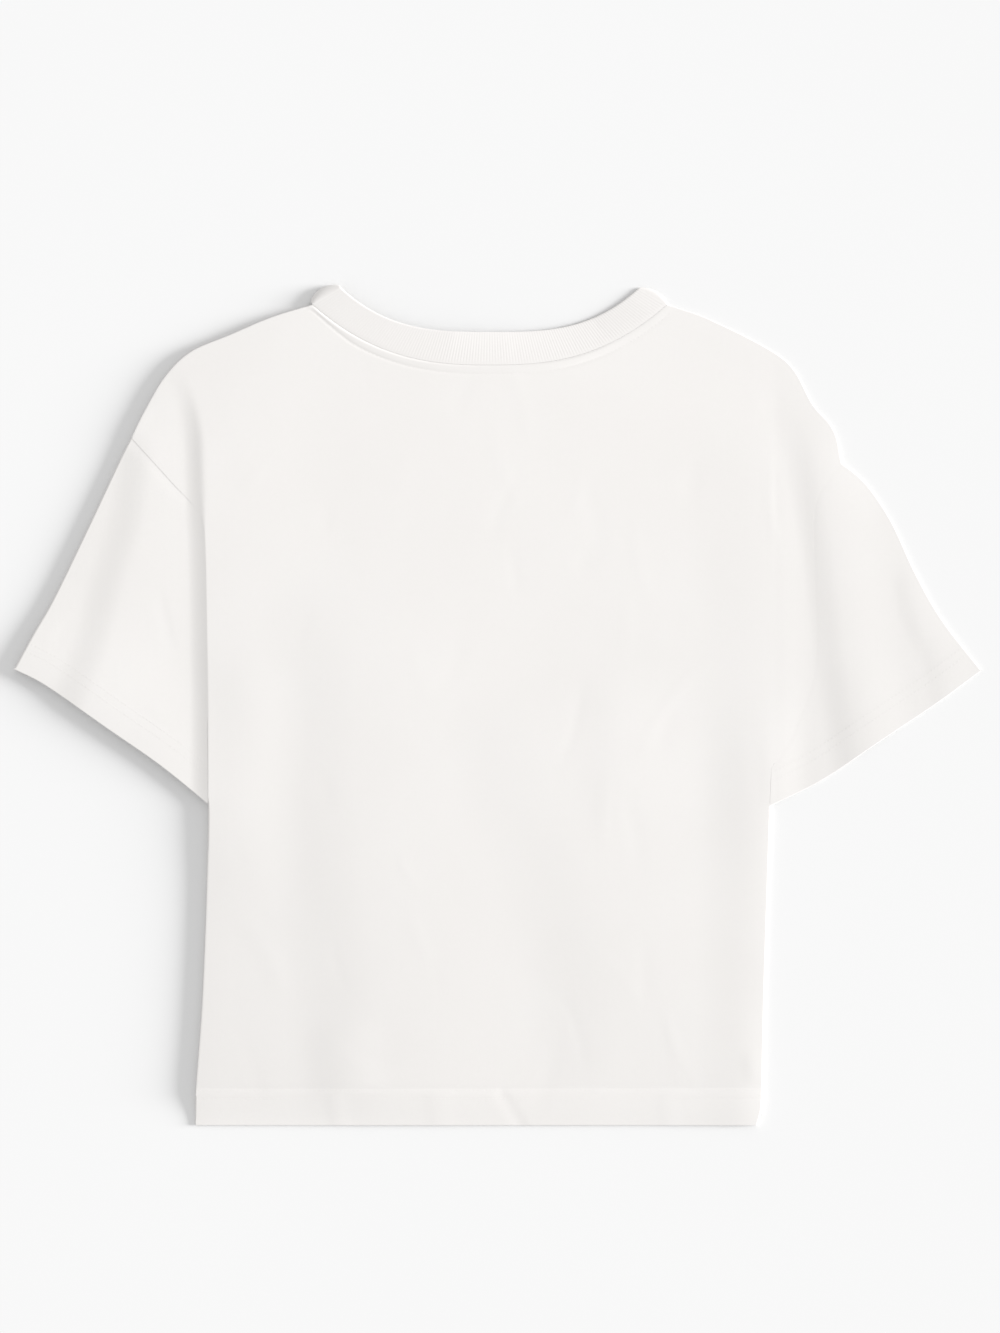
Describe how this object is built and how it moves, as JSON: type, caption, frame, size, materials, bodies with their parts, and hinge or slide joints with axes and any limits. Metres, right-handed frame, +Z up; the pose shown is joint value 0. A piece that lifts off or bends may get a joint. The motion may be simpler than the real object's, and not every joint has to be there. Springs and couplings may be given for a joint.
{
  "type": "short-sleeved t-shirt laid flat",
  "caption": "Crew-neck short-sleeved jersey T-shirt laid flat back side up, with a ribbed neckband, drop shoulders and turned hem and cuffs.",
  "frame": {"origin": "middle of the shirt's box in plan, on the surface that it lies on", "axes": "+X from the wearer's left sleeve to the right sleeve, +Y from the hem to the neck, +Z up from the surface, out of the shirt's back"},
  "size_m": [0.6762, 0.5874, 0.0083],
  "materials": {
    "jersey": "matt white cotton single jersey",
    "rib_knit": "matt white cotton one-by-one rib"
  },
  "bodies": {
    "root": {"back_panel": "jersey", "front_panel": "jersey", "sleeve_left": "jersey", "sleeve_right": "jersey", "neck_rib": "rib_knit"}
  },
  "joints": []
}
